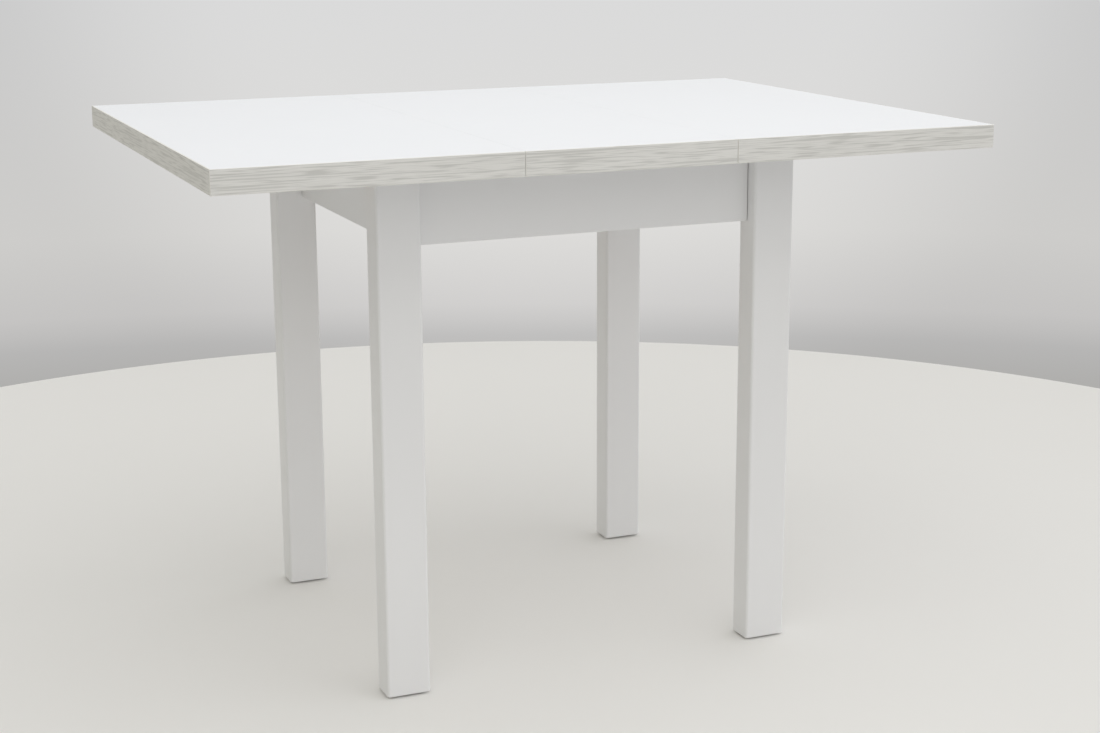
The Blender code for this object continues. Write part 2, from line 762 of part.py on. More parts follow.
def make_hinge_barrel(across, along):
    """A brass barrel set in the wing's joint face, slotted for the hinge's link."""
    mouth, bottom = barrel_ends(across, along)
    bm = bmesh.new()
    body = LEAF[across]
    fold = origin(body)
    add_rod(bm, mouth - fold, bottom - fold, BARREL_RADIUS, ROUND_STEPS)
    barrel = finished(f"hinge_barrel_{across}_{along}", bm, BRASS, body, fold)
    barrel.data.shade_smooth()
    barrel.data.set_sharp_from_angle(angle=math.radians(35))
    half = LINK_THICKNESS / 2 + SLIDE_FIT
    depth = span(FRONT_BACK[across], -BARREL_LENGTH, LINK_REACH + SEAM)
    slot_low = (mouth.x - half, depth[0], LINK_LOW - BARREL_RADIUS)
    slot_high = (mouth.x + half, depth[1], LINK_HIGH + BARREL_RADIUS)
    boolean(barrel, boxes=[(slot_low, slot_high)])


def make_hinge_link(along):
    """The steel link between a hinge's two barrels, carried by the back one."""
    x = SIDES[along] * HINGE_PLACE
    half = LINK_THICKNESS / 2
    low = (x - half, -LINK_REACH, LINK_LOW)
    high = (x + half, LINK_REACH, LINK_HIGH)
    box(f"hinge_link_{along}", low, high, ZINC, LEAF["back"])


def make_leaf():
    for across in FRONT_BACK:
        make_wing(across)
        for along in SIDES:
            make_hinge_barrel(across, along)
    for along in SIDES:
        make_hinge_link(along)


make_base()
for half_side in SIDES:
    make_half(half_side)
make_leaf()
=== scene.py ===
"""The looks of an extending table: rounded edges, finishes, screws, floor, light and camera.

Lengths are metres. The table stands on z = 0 with its length along X, and its front faces -Y.
"""

import functools
import json
import math

import bmesh
import bpy
from mathutils import Matrix, Vector

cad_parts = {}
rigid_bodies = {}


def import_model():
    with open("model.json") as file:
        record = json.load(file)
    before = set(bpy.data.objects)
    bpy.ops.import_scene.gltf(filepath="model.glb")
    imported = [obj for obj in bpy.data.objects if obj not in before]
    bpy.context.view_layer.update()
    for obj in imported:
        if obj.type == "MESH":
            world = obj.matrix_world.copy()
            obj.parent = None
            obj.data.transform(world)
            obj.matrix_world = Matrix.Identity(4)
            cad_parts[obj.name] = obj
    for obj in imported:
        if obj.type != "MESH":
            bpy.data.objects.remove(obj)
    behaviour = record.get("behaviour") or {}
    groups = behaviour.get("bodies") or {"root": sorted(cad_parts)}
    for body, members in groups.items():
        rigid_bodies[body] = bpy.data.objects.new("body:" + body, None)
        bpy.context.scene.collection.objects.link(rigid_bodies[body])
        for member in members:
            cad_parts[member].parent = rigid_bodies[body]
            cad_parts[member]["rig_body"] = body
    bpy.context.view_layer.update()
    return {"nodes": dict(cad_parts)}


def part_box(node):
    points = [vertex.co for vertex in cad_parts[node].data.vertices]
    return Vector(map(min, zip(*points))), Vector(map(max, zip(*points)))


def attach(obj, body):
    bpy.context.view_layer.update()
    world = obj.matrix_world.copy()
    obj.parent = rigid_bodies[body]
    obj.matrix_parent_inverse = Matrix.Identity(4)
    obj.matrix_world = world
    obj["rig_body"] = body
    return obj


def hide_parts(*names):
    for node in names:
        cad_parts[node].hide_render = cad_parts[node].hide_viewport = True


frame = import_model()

SIDES = {"left": -1, "right": 1}
FRONT_BACK = {"front": -1, "back": 1}
CORNERS = [(across, along) for across in FRONT_BACK for along in SIDES]

# The gap that the CAD leaves between a board and its edge bands, which the board closes
GLUE_LINE = 0.0003
# How far the boards reach into the CAD's seams, which leaves 0.3 mm open
SEAM_CLOSING = 0.00025

BAND_ROUNDING = 0.0010
SEAM_ROUNDING = 0.0001
LEG_END_ROUNDING = 0.0010
WOOD_ROUNDING = 0.0007
PLATE_ROUNDING = 0.0006
FINE_ROUNDING = 0.0003

# CAD corners closer than this are one corner, and CAD faces nearly in one plane are one face
SAME_CORNER = 0.000002
SAME_PLANE = math.radians(1)
# An edge whose ends are closer to a plane than this lies in it
IN_PLANE = 0.0001
HARD_EDGE_ABOVE = math.radians(30)
SMOOTH_BELOW = math.radians(40)
FLAT_FACE_WEIGHT = 100

# Threads: the ridge takes half of each turn, and a point narrows to this share of the core
THREAD_STEPS = 20
RINGS_PER_TURN = 6
RIDGE_STEEPNESS = 4.0
TIP_SHARE = 0.15

# Wood screws
SCREW_CORE = 0.0014
SCREW_CREST = 0.0020
SCREW_PITCH = 0.0018
SCREW_POINT = 0.0040
SCREW_HEAD_RADIUS = 0.0040
SCREW_HEAD_HEIGHT = 0.0028
SCREW_HEAD_RIM = 0.0004
# Shares of the head's radius: its underside, and what the dome's curve is added to
SCREW_HEAD_SEAT = 0.97
SCREW_HEAD_CROWN = 0.25
SCREW_DOME_ANGLE = math.radians(75)
SCREW_DOME_RINGS = 6
# The cross recess, as two crossed wings that are narrower at the bottom
RECESS_REACH = 0.0022
RECESS_HALF_WIDTH = 0.00045
RECESS_FLOOR = 0.0010
RECESS_TOP = 0.0060
RECESS_TAPER = 0.55
RAIL_SCREW_LENGTH = 0.026
PLATE_SCREW_LENGTH = 0.014
SLIDE_SCREW_LENGTH = 0.034

# Where the screws go
SLIDE_SCREW_PLACES = (0.180, 0.300, 0.390)
SLIDE_SCREW_RECESS = 0.006
TONGUE_DEPTH = 0.004
PLATE_THICKNESS = 0.002
PLATE_FLANGE = 0.024
STEEL_GAP = 0.0003

# Hanger bolts
BOLT_PITCH = 0.0010
BOLT_THREAD_DEPTH = 0.0006
BOLT_CHAMFER = 0.0006

# Nuts: a hexagon cut by a round shaper, whose end face is a little narrower than the flats
NUT_SIDES = 6
NUT_FACE_SHARE = 0.96
NUT_RIM_SHARE = 1.01
NUT_CHAMFER_ANGLE = math.radians(30)
NUT_STEPS = 48
BORE_STEPS = 24
BORE_CUTTER_LENGTHS = 3
CUTTER_OVERLAP = 0.00001

# The studio
FLOOR_RADIUS = 1.85
FLOOR_THICKNESS = 0.02
FLOOR_ROUNDING = 0.005
FLOOR_STEPS = 256
CAMERA_PLACE = (-1.04780, -2.63049, 1.06432)
CAMERA_YAW = 0.39474
CAMERA_PITCH = -0.23710
CAMERA_ROLL = -0.00505
FOCAL_LENGTH_MM = 63.098
SENSOR_WIDTH_MM = 36.0
SOFTBOX_PLACE = (-0.1, -0.8, 3.1)
SOFTBOX_TARGET = (0, 0, 0.4)
SOFTBOX_SIZE = 3.0
SOFTBOX_POWER = 21.5
# The light from each height, from straight down at -1 to straight up at 1: the backdrop,
# and above it what comes from each side and from overhead
BACKDROP_LEVELS = (
    (-1.00, (0.44, 0.435, 0.42)),
    (-0.24, (0.50, 0.495, 0.48)),
    (-0.219, (0.56, 0.555, 0.55)),
    (-0.205, (0.660, 0.650, 0.642)),
    (-0.165, (0.730, 0.722, 0.706)),
    (-0.05, (0.705, 0.705, 0.705)),
)
SIDE_LEVELS = {
    (0, -1, 0): ((0.10, 0.14), (0.30, 1.37), (0.60, 1.19)),
    (1, 0, 0): ((0.10, 1.21), (0.30, 1.40), (0.60, 1.58)),
    (0, 1, 0): ((0.10, 0.68), (0.30, 1.16), (0.60, 0.93)),
    (-1, 0, 0): ((0.10, 0.32), (0.30, 0.36), (0.60, 1.10)),
}
OVERHEAD_LEVEL = (1.00, 0.46)
# The ramps hold no level over 1, so they hold each level divided by this
WORLD_STRENGTH = 2.0
# The light from the left is tinted, more and more between these cosines to the left
LEFT_TINT = (0.86, 0.85, 0.77)
LEFT_TINT_COSINES = (0.1, 0.8)
# Between these cosines to the middle of the backdrop, the light rises from its share at the
# backdrop's sides to its full strength
BACKDROP_SIDES = 0.84
BACKDROP_COSINES = (0.955, 0.990)
# Keeps the shares of the four sides finite straight overhead
LEAST_LEVEL_PART = 0.00001

# Linear colours
LAMINATE_WHITES = ((0.891, 0.907, 0.936), (0.905, 0.920, 0.948))
BAND_WOODS = ((0.790, 0.782, 0.752), (0.850, 0.842, 0.814))
BAND_PORE = (0.690, 0.680, 0.646)
BAND_GRAIN = (0.560, 0.555, 0.528)
BAND_CORE = (0.900, 0.890, 0.850)
LACQUER_WHITES = ((0.828, 0.826, 0.829), (0.854, 0.852, 0.855))
BEECH_WOODS = ((0.560, 0.360, 0.205), (0.700, 0.490, 0.305))
BEECH_FIBRE = (0.480, 0.300, 0.170)
BEECH_FLECK = (0.300, 0.165, 0.085)
ZINC_GREYS = ((0.52, 0.53, 0.54), (0.66, 0.67, 0.66))
BRASS_YELLOWS = ((0.58, 0.40, 0.16), (0.78, 0.60, 0.30))
NYLON_BLACKS = ((0.050, 0.050, 0.052), (0.085, 0.085, 0.085))
FLOOR_GREYS = ((0.855, 0.843, 0.816), (0.875, 0.864, 0.838))

# Where most values of a noise texture lie
MIDDLE = (0.3, 0.7)


# ---------------------------------------------------------------- nodes and materials


class Tree:
    """A node tree, with the kinds of node that both the materials and the world use."""

    def __init__(self, tree):
        self.nodes = tree.nodes
        self.links = tree.links

    def feed(self, socket, value):
        if isinstance(value, bpy.types.NodeSocket):
            self.links.new(value, socket)
        else:
            socket.default_value = value

    def combined(self, kind, operation, first, second):
        node = self.nodes.new(kind)
        node.operation = operation
        self.feed(node.inputs[0], first)
        self.feed(node.inputs[1], second)
        return node

    def math(self, operation, first, second):
        return self.combined("ShaderNodeMath", operation, first, second).outputs["Value"]

    def between(self, value, low, high, start=0.0, end=1.0):
        """Value as it goes from low to high, eased and rescaled to run from start to end."""
        node = self.nodes.new("ShaderNodeMapRange")
        node.interpolation_type = "SMOOTHSTEP"
        self.links.new(value, node.inputs["Value"])
        node.inputs["From Min"].default_value = low
        node.inputs["From Max"].default_value = high
        node.inputs["To Min"].default_value = start
        node.inputs["To Max"].default_value = end
        return node.outputs["Result"]

    def mixed(self, factor, first, second, blend="MIX"):
        node = self.nodes.new("ShaderNodeMix")
        node.data_type = "RGBA"
        node.blend_type = blend
        self.links.new(factor, node.inputs["Factor"])
        for name, value in (("A", first), ("B", second)):
            socket = [s for s in node.inputs if s.name == name and s.type == "RGBA"][0]
            linked = isinstance(value, bpy.types.NodeSocket)
            self.feed(socket, value if linked else (*value, 1.0))
        return [s for s in node.outputs if s.type == "RGBA"][0]


class Look(Tree):
    """One procedural material, built node by node in object coordinates."""

    def __init__(self, name, slot, metallic=0.0, specular=0.5):
        self.slot = slot
        self.material = bpy.data.materials.new(name)
        self.material.use_nodes = True
        super().__init__(self.material.node_tree)
        self.shader = self.nodes["Principled BSDF"]
        self.shader.inputs["Metallic"].default_value = metallic
        self.shader.inputs["Specular IOR Level"].default_value = specular
        self.coordinates = self.nodes.new("ShaderNodeTexCoord")

    def stretched(self, stretch):
        node = self.nodes.new("ShaderNodeMapping")
        node.inputs["Scale"].default_value = stretch
        self.links.new(self.coordinates.outputs["Object"], node.inputs["Vector"])
        return node.outputs["Vector"]

    def noise(self, stretch, detail, roughness=0.5, distortion=0.0):
        """Noise with about one feature per 1/stretch metres along each axis."""
        node = self.nodes.new("ShaderNodeTexNoise")
        node.inputs["Scale"].default_value = 1.0
        node.inputs["Detail"].default_value = detail
        node.inputs["Roughness"].default_value = roughness
        node.inputs["Distortion"].default_value = distortion
        self.links.new(self.stretched(stretch), node.inputs["Vector"])
        return node.outputs["Fac"]

    def bump(self, height, depth, under=None):
        """A relief this many metres deep, on top of the relief under it."""
        node = self.nodes.new("ShaderNodeBump")
        node.inputs["Strength"].default_value = 1.0
        node.inputs["Distance"].default_value = depth
        self.links.new(height, node.inputs["Height"])
        if under:
            self.links.new(under, node.inputs["Normal"])
        return node.outputs["Normal"]

    def facing(self, axis):
        """1 on a surface square to an object axis (0, 1 or 2), and 0 well round its edge."""
        parts = self.nodes.new("ShaderNodeSeparateXYZ")
        self.links.new(self.coordinates.outputs["Normal"], parts.inputs["Vector"])
        cosine = self.math("ABSOLUTE", parts.outputs[axis], 0.0)
        return self.between(cosine, low=0.80, high=0.97)

    def finish(self, colour, roughness, normal):
        self.links.new(colour, self.shader.inputs["Base Color"])
        self.links.new(roughness, self.shader.inputs["Roughness"])
        self.links.new(normal, self.shader.inputs["Normal"])
        return self


def even(scale):
    return (scale, scale, scale)


def along_axis(axis, lengthways, sideways):
    """A stretch that draws a pattern out along one axis."""
    stretch = [sideways] * 3
    stretch[axis] = lengthways
    return tuple(stretch)


def laminate():
    """White melamine with a fine pearl texture."""
    look = Look("white_laminate", "laminate")
    clouds = look.noise(even(6.0), detail=2.0)
    pearl = look.noise(even(1400.0), detail=2.0, roughness=0.6)
    rubbed = look.noise((25.0, 180.0, 25.0), detail=4.0)
    colour = look.mixed(clouds, *LAMINATE_WHITES)
    worn = look.math("ADD", rubbed, look.math("MULTIPLY", pearl, 0.3))
    roughness = look.between(worn, low=0.35, high=0.95, start=0.30, end=0.44)
    normal = look.bump(pearl, depth=0.00002)
    return look.finish(colour, roughness, normal)


def edge_band(name, length_axis, face_axis):
    """Plastic edge band: a print of washed grey wood grain, on a plain core.

    The core shows where the band is rounded.
    """
    look = Look(name, "edge_band")
    patches = look.noise(along_axis(length_axis, 3.0, 60.0), detail=2.0)
    streaks = look.noise(along_axis(length_axis, 18.0, 500.0), detail=1.0, roughness=0.4)
    lines = look.noise(along_axis(length_axis, 5.0, 380.0), detail=0.0)
    threads = look.noise(along_axis(length_axis, 26.0, 1000.0), detail=1.0)
    pores = look.noise(along_axis(length_axis, 60.0, 1900.0), detail=2.0)
    grain = look.math(
        "MAXIMUM",
        look.between(streaks, low=0.50, high=0.66, end=0.70),
        look.between(lines, low=0.61, high=0.69, end=0.60),
    )
    grain = look.math("MAXIMUM", grain, look.between(threads, low=0.50, high=0.70, end=0.40))
    wood = look.mixed(patches, *BAND_WOODS)
    speckle = look.between(pores, low=0.45, high=0.75, end=0.2)
    wood = look.mixed(speckle, wood, BAND_PORE)
    printed = look.mixed(grain, wood, BAND_GRAIN)
    face = look.facing(face_axis)
    colour = look.mixed(face, BAND_CORE, printed)
    roughness = look.between(patches, *MIDDLE, start=0.42, end=0.52)
    dents = look.math("MULTIPLY", look.math("MULTIPLY", grain, -1.0), face)
    normal = look.bump(dents, depth=0.00004, under=look.bump(pores, depth=0.00002))
    return look.finish(colour, roughness, normal)


def lacquer():
    """White satin lacquer over smooth wood."""
    look = Look("white_satin_lacquer", "lacquer")
    clouds = look.noise(even(4.0), detail=3.0)
    peel = look.noise(even(420.0), detail=2.0)
    handling = look.noise(even(38.0), detail=5.0, roughness=0.65)
    colour = look.mixed(clouds, *LACQUER_WHITES)
    roughness = look.between(handling, *MIDDLE, start=0.34, end=0.44)
    normal = look.bump(peel, depth=0.00006)
    return look.finish(colour, roughness, normal)


def beech(name, grain_axis):
    """Bare planed beech, with its short dark flecks along the grain."""
    look = Look(name, "beech", specular=0.35)
    growth = look.noise(along_axis(grain_axis, 1.8, 55.0), detail=4.0, distortion=0.6)
    fibres = look.noise(along_axis(grain_axis, 35.0, 1500.0), detail=3.0)
    flecks = look.noise(along_axis(grain_axis, 260.0, 2200.0), detail=1.0)
    colour = look.mixed(growth, *BEECH_WOODS)
    fibre = look.between(fibres, low=0.3, high=0.8, end=0.35)
    colour = look.mixed(fibre, colour, BEECH_FIBRE)
    fleck = look.between(flecks, low=0.64, high=0.72)
    colour = look.mixed(fleck, colour, BEECH_FLECK)
    roughness = look.between(fibres, *MIDDLE, start=0.50, end=0.66)
    normal = look.bump(fleck, depth=-0.00006, under=look.bump(fibres, depth=0.00006))
    return look.finish(colour, roughness, normal)


def metal(name, slot, colours, roughnesses, worked_scale):
    """Plated or turned metal with faint tarnish and a fine worked surface."""
    look = Look(name, slot, metallic=1.0)
    tarnish = look.noise(even(140.0), detail=4.0, roughness=0.6)
    worked = look.noise(even(worked_scale), detail=3.0)
    colour = look.mixed(tarnish, *colours)
    uneven = look.math("MULTIPLY", look.math("ADD", tarnish, worked), 0.5)
    roughness = look.between(uneven, *MIDDLE, *roughnesses)
    normal = look.bump(worked, depth=0.00002)
    return look.finish(colour, roughness, normal)


def nylon():
    """Moulded dark nylon with a fine spark-eroded texture."""
    look = Look("dark_nylon", "nylon")
    clouds = look.noise(even(120.0), detail=2.0)
    texture = look.noise(even(2400.0), detail=2.0)
    colour = look.mixed(clouds, *NYLON_BLACKS)
    roughness = look.between(texture, *MIDDLE, start=0.45, end=0.62)
    normal = look.bump(texture, depth=0.00004)
    return look.finish(colour, roughness, normal)


def pale_floor():
    """A pale matt floor, faintly clouded and speckled."""
    look = Look("pale_floor", None, specular=0.2)
    clouds = look.noise(even(1.5), detail=3.0)
    speckle = look.noise(even(300.0), detail=2.0)
    colour = look.mixed(clouds, *FLOOR_GREYS)
    roughness = look.between(speckle, *MIDDLE, start=0.7, end=0.85)
    normal = look.bump(speckle, depth=0.00005)
    return look.finish(colour, roughness, normal)


LAMINATE = laminate()
BAND_ALONG_X = edge_band("grained_band_along_x", length_axis=0, face_axis=1)
BAND_ALONG_Y = edge_band("grained_band_along_y", length_axis=1, face_axis=0)
LACQUER = lacquer()
BEECH_ALONG_X = beech("beech_along_x", grain_axis=0)
BEECH_ALONG_Y = beech("beech_along_y", grain_axis=1)
ZINC = metal("zinc_plated_steel", "zinc", ZINC_GREYS, (0.28, 0.46), 1600.0)
BRASS = metal("turned_brass", "brass", BRASS_YELLOWS, (0.22, 0.38), 2200.0)
NYLON = nylon()


# ---------------------------------------------------------------- shaped pieces


def softened(obj):
    """Smooth shading that keeps flat faces flat and hard edges hard."""
    obj.data.shade_smooth()
    obj.data.set_sharp_from_angle(angle=SMOOTH_BELOW)
    weighted = obj.modifiers.new("flat_faces", "WEIGHTED_NORMAL")
    weighted.weight = FLAT_FACE_WEIGHT
    weighted.keep_sharp = True


def linked_object(name, mesh):
    obj = bpy.data.objects.new(name, mesh)
    bpy.context.scene.collection.objects.link(obj)
    return obj


def mesh_from(name, bm):
    mesh = bpy.data.meshes.new(name)
    bm.to_mesh(mesh)
    bm.free()
    return mesh


def dressed(obj, body, nodes):
    """A finished piece that rides on its body, in place of the named CAD nodes."""
    softened(obj)
    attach(obj, body)
    if nodes:
        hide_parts(*nodes)


def finished(node, bm, look):
    """A CAD node's better piece, from a bmesh drawn in the table's frame."""
    name = f"{node}_finished"
    obj = linked_object(name, mesh_from(name, bm))
    obj.data.materials.append(look.material)
    dressed(obj, frame["nodes"][node]["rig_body"], [node])


def placed(name, mesh, point, direction, look, body, nodes=()):
    """A piece whose mesh was drawn at the origin, with its +Z turned to direction."""
    if not mesh.materials:
        mesh.materials.append(look.material)
    obj = linked_object(name, mesh)
    turn = Vector(direction).to_track_quat("Z", "Y").to_matrix().to_4x4()
    obj.matrix_world = Matrix.Translation(Vector(point)) @ turn
    dressed(obj, body, nodes)


def cad_bmesh(node):
    """The CAD node's surface as whole flat faces, ready to be rounded."""
    bm = bmesh.new()
    bm.from_mesh(frame["nodes"][node].data)
    bmesh.ops.remove_doubles(bm, verts=bm.verts, dist=SAME_CORNER)
    bmesh.ops.dissolve_limit(bm, angle_limit=SAME_PLANE, verts=bm.verts, edges=bm.edges)
    return bm


def hard_edges(bm):
    """The sharp outside edges; inside corners stay as they are."""
    return [
        edge for edge in bm.edges if edge.is_convex and edge.calc_face_angle(0.0) > HARD_EDGE_ABOVE
    ]


def in_plane(edge, axis, place):
    return all(abs(vert.co[axis] - place) < IN_PLANE for vert in edge.verts)


def rounded(bm, edges, radius, segments=3):
    bmesh.ops.bevel(
        bm,
        geom=edges,
        offset=radius,
        offset_type="OFFSET",
        segments=segments,
        profile=0.5,
        affect="EDGES",
        clamp_overlap=True,
    )


def shaped(node, look, radius, segments=3):
    """A CAD node with its sharp edges broken, as a finished piece."""
    bm = cad_bmesh(node)
    rounded(bm, hard_edges(bm), radius, segments)
    finished(node, bm, look)


def box_bmesh(low, high):
    bm = bmesh.new()
    size = Matrix.Diagonal((*(high - low), 1))
    bmesh.ops.create_cube(bm, size=1, matrix=Matrix.Translation((low + high) / 2) @ size)
    return bm


def make_band(node, face_axis, look):
    """An edge band with its outer edges rounded, and its inner ones sharp against the board."""
    low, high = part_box(node)
    outer = max(low[face_axis], high[face_axis], key=abs)
    bm = box_bmesh(low, high)
    edges = [edge for edge in bm.edges if in_plane(edge, face_axis, outer)]
    rounded(bm, edges, BAND_ROUNDING, segments=4)
    finished(node, bm, look)


def side_place(node, axis, way):
    """Where a CAD node ends along an axis."""
    low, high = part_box(node)
    return high[axis] if way > 0 else low[axis]


def make_board(node, banded, seams):
    """A laminated board glued up to its banded sides, with the arrises along its seams just eased.

    Both lists hold sides as (axis, direction).
    """
    bm = cad_bmesh(node)
    for sides, reach in ((banded, GLUE_LINE), (seams, SEAM_CLOSING)):
        for axis, way in sides:
            end = side_place(node, axis, way)
            for vert in bm.verts:
                if abs(vert.co[axis] - end) < reach:
                    vert.co[axis] = end + way * reach
    edges = []
    for axis, way in seams:
        place = side_place(node, axis, way) + way * SEAM_CLOSING
        edges += [
            edge for edge in hard_edges(bm) if edge not in edges and in_plane(edge, axis, place)
        ]
    rounded(bm, edges, SEAM_ROUNDING, segments=2)
    finished(node, bm, LAMINATE)


# ---------------------------------------------------------------- threads and screws


def ring_surface(bm, rings):
    """A closed surface through rings of points, with a flat or pointed cap at each end."""
    rows = [[bm.verts.new(point) for point in ring] for ring in rings]
    count = len(rows[0])
    for lower, upper in zip(rows, rows[1:]):
        for i in range(count):
            j = (i + 1) % count
            bm.faces.new((lower[i], lower[j], upper[j], upper[i]))
    bm.faces.new(reversed(rows[0]))
    bm.faces.new(rows[-1])


def ring(radius_at, height, steps):
    """Points round the Z axis, whose radius may change with the share of a turn."""
    points = []
    for i in range(steps):
        turn = i / steps
        angle = turn * math.tau
        radius = radius_at(turn)
        points.append((radius * math.cos(angle), radius * math.sin(angle), height))
    return points


def circle(radius, height, steps):
    return ring(lambda turn: radius, height, steps)


def thread_rings(core, crest, pitch, bottom, top, taper_bottom, taper_top):
    """Rings of a right-handed thread between two heights, fading to the core over each taper."""
    count = int((top - bottom) / pitch * RINGS_PER_TURN)
    rings = []
    for k in range(count + 1):
        height = bottom + (top - bottom) * k / count
        fade_low = min(1.0, (height - bottom) / taper_bottom) if taper_bottom else 1.0
        fade_high = min(1.0, (top - height) / taper_top) if taper_top else 1.0
        shank = core * (TIP_SHARE + (1 - TIP_SHARE) * fade_low)
        depth = (crest - core) * min(fade_low, fade_high)

        def radius_at(turn, height=height, shank=shank, depth=depth):
            phase = (height / pitch - turn) % 1.0
            return shank + depth * max(0.0, 1.0 - abs(phase - 0.5) * RIDGE_STEEPNESS)

        rings.append(ring(radius_at, height, THREAD_STEPS))
    return rings


def screw_mesh(name, length):
    """A pan-head wood screw with a cross recess.

    The underside of its head is at the origin, and its tip at -length.
    """
    rings = thread_rings(
        SCREW_CORE, SCREW_CREST, SCREW_PITCH, -length, -SCREW_PITCH, SCREW_POINT, SCREW_PITCH
    )
    rings += [
        circle(SCREW_CORE, -SCREW_PITCH / 2, THREAD_STEPS),
        circle(SCREW_CORE, 0.0, THREAD_STEPS),
        circle(SCREW_HEAD_RADIUS * SCREW_HEAD_SEAT, 0.0, THREAD_STEPS),
    ]
    rise = (SCREW_HEAD_HEIGHT - SCREW_HEAD_RIM) / math.sin(SCREW_DOME_ANGLE)
    for k in range(SCREW_DOME_RINGS + 1):
        angle = k / SCREW_DOME_RINGS * SCREW_DOME_ANGLE
        share = SCREW_HEAD_CROWN + (1 - SCREW_HEAD_CROWN) * math.cos(angle)
        height = SCREW_HEAD_RIM + rise * math.sin(angle)
        rings.append(circle(SCREW_HEAD_RADIUS * share, height, THREAD_STEPS))
    bm = bmesh.new()
    ring_surface(bm, rings)
    solid = linked_object(name, mesh_from(name, bm))
    for turn in (0.0, math.pi / 2):
        wing = box_bmesh(
            Vector((-RECESS_REACH, -RECESS_HALF_WIDTH, RECESS_FLOOR)),
            Vector((RECESS_REACH, RECESS_HALF_WIDTH, RECESS_TOP)),
        )
        for vert in wing.verts:
            if vert.co.z < SCREW_HEAD_HEIGHT:
                vert.co.x *= RECESS_TAPER
        wing.transform(Matrix.Rotation(turn, 4, "Z"))
        cut_by(solid, "cross_recess", wing)
    return evaluated_mesh(solid)


def cut_by(solid, name, bm, operation="DIFFERENCE"):
    modifier = solid.modifiers.new(name, "BOOLEAN")
    modifier.operation = operation
    modifier.object = linked_object(f"{solid.name}_{name}", mesh_from(name, bm))


def evaluated_mesh(obj):
    """The mesh an object shows with its modifiers on; the object and its cutters are removed."""
    graph = bpy.context.evaluated_depsgraph_get()
    mesh = bpy.data.meshes.new_from_object(obj.evaluated_get(graph))
    for cutter in [modifier.object for modifier in obj.modifiers]:
        bpy.data.objects.remove(cutter, do_unlink=True)
    bpy.data.objects.remove(obj, do_unlink=True)
    return mesh


def bolt_mesh(radius, length):
    """A threaded stud centred on the origin along Z, with chamfered ends."""
    core = radius - BOLT_THREAD_DEPTH
    half = length / 2
    rings = [
        circle(core - BOLT_CHAMFER, -half, THREAD_STEPS),
        *thread_rings(
            core, radius, BOLT_PITCH, -half + BOLT_CHAMFER, half - BOLT_CHAMFER, 0.0, BOLT_PITCH
        ),
        circle(core - BOLT_CHAMFER, half, THREAD_STEPS),
    ]
    bm = bmesh.new()
    ring_surface(bm, rings)
    return mesh_from("hanger_bolt", bm)


def cylinder_bmesh(radius, length, steps, centre=(0, 0, 0)):
    bm = bmesh.new()
    bmesh.ops.create_cone(
        bm,
        cap_ends=True,
        segments=steps,
        radius1=radius,
        radius2=radius,
        depth=length,
        matrix=Matrix.Translation(centre),
    )
    return bm


def nut_mesh(across_corners, height, bore):
    """A hexagon nut centred on the origin, with its corners chamfered on both faces."""
    reach = across_corners / 2
    solid = linked_object("nut", mesh_from("nut", cylinder_bmesh(reach, height, NUT_SIDES)))
    face = reach * math.cos(math.pi / NUT_SIDES) * NUT_FACE_SHARE
    rim = reach * NUT_RIM_SHARE
    end = height / 2 + CUTTER_OVERLAP
    shoulder = height / 2 - (rim - face) * math.tan(NUT_CHAMFER_ANGLE)
    shaper = bmesh.new()
    ring_surface(
        shaper,
        [
            circle(radius, place, NUT_STEPS)
            for radius, place in ((face, -end), (rim, -shoulder), (rim, shoulder), (face, end))
        ],
    )
    cut_by(solid, "chamfered", shaper, "INTERSECT")
    cut_by(solid, "bore", cylinder_bmesh(bore, height * BORE_CUTTER_LENGTHS, BORE_STEPS))
    return evaluated_mesh(solid)


# ---------------------------------------------------------------- the base


def make_base():
    for across, along in CORNERS:
        corner = f"{across}_{along}"
        shaped(f"leg_{corner}", LACQUER, LEG_END_ROUNDING, segments=2)
        shaped(f"glide_{corner}", NYLON, FINE_ROUNDING, segments=2)
        shaped(f"corner_plate_{corner}", ZINC, PLATE_ROUNDING)
        shaped(f"hanger_washer_{corner}", ZINC, FINE_ROUNDING, segments=2)
    for across in FRONT_BACK:
        shaped(f"apron_{across}", LACQUER, FINE_ROUNDING, segments=2)
        shaped(f"guide_rail_{across}", BEECH_ALONG_X, WOOD_ROUNDING)
    for along in SIDES:
        shaped(f"apron_{along}", LACQUER, FINE_ROUNDING, segments=2)
        shaped(f"tray_batten_{along}", BEECH_ALONG_Y, WOOD_ROUNDING)
    make_corner_fasteners()
    make_rail_screws()
    make_plate_screws()


def make_corner_fasteners():
    """Threaded hanger bolts and chamfered nuts on each corner's diagonal."""
    low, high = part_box("hanger_bolt_front_left")
    radius = (high.z - low.z) / 2
    length = (high.x - low.x) * math.sqrt(2) - 2 * radius
    bolt = bolt_mesh(radius, length)
    nut = nut_mesh(*nut_size("hanger_nut_front_left"), radius + STEEL_GAP)
    for across, along in CORNERS:
        outward = Vector((SIDES[along], FRONT_BACK[across], 0)).normalized()
        for kind, mesh in (("bolt", bolt), ("nut", nut)):
            node = f"hanger_{kind}_{across}_{along}"
            low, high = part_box(node)
            centre = (low + high) / 2
            placed(f"{node}_finished", mesh, centre, outward, ZINC, "base", [node])


def nut_size(nut):
    """A front left nut's width across corners, and its height along the bolt."""
    low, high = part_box(nut)
    centre = (low + high) / 2
    axis = Vector((-1, -1, 0)).normalized()
    offsets = [vert.co - centre for vert in frame["nodes"][nut].data.vertices]
    heights = [offset.dot(axis) for offset in offsets]
    reaches = [(offset - axis * offset.dot(axis)).length for offset in offsets]
    return 2 * max(reaches), max(heights) - min(heights)


